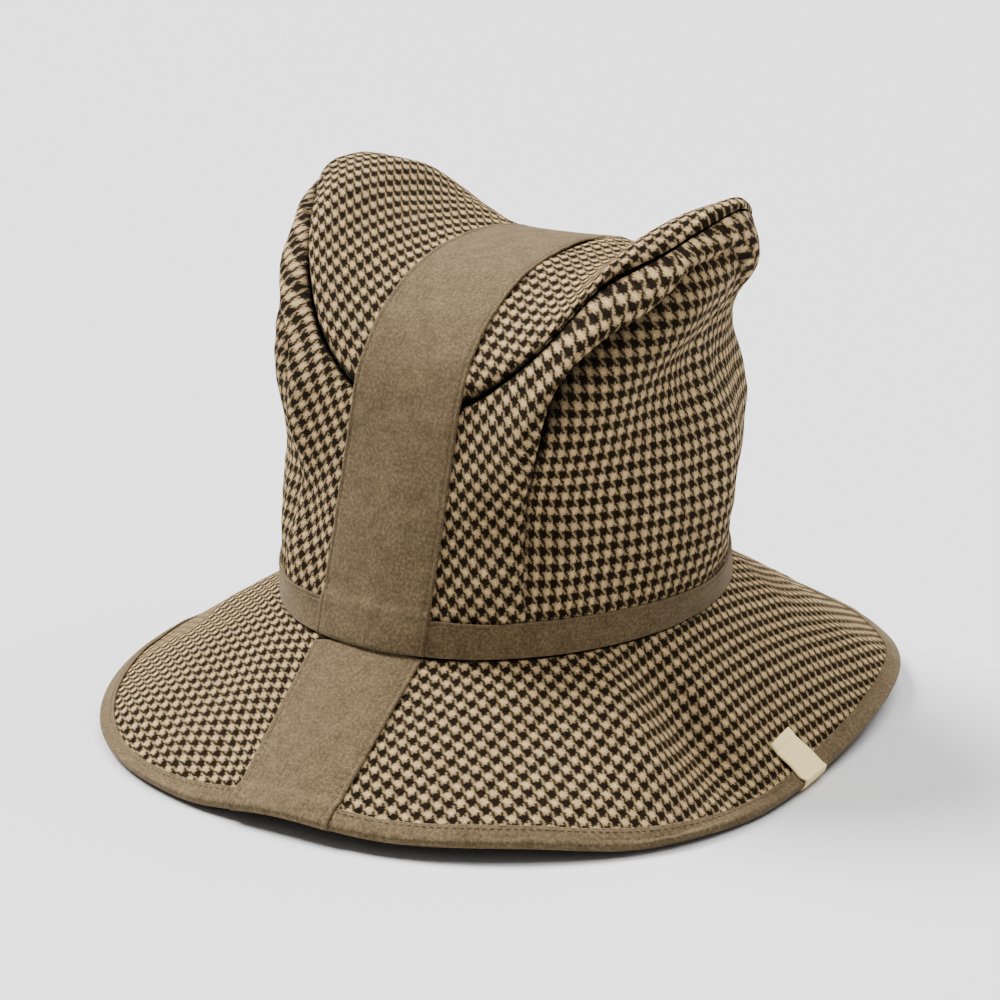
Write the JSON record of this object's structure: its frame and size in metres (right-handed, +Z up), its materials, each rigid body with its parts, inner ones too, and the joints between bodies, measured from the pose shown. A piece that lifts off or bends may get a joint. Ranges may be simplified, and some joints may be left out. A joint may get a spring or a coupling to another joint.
{
  "type": "deerstalker-style bucket hat with ear corners",
  "caption": "Soft check cloth hat with a bound flared brim, a wide tape over the crown and ear-like top corners.",
  "frame": {"origin": "under the middle of the hat's box, on the surface it stands on", "axes": "+Z up out of the crown, the wearer faces -Y, +X is the wearer's left"},
  "size_m": [0.3144, 0.3436, 0.2167],
  "materials": {
    "check_cloth": "woven puppytooth check, matt",
    "twill_tape": "khaki twill tape, matt",
    "cream_tab": "plain woven cream tape"
  },
  "bodies": {
    "root": {"crown_side_left": "check_cloth", "crown_side_right": "check_cloth", "crown_top": "check_cloth", "brim": "check_cloth", "crown_strip": "twill_tape", "crown_band": "twill_tape", "brim_strip_front": "twill_tape", "brim_strip_back": "twill_tape", "brim_binding": "twill_tape", "brim_tab": "cream_tab"}
  },
  "joints": []
}
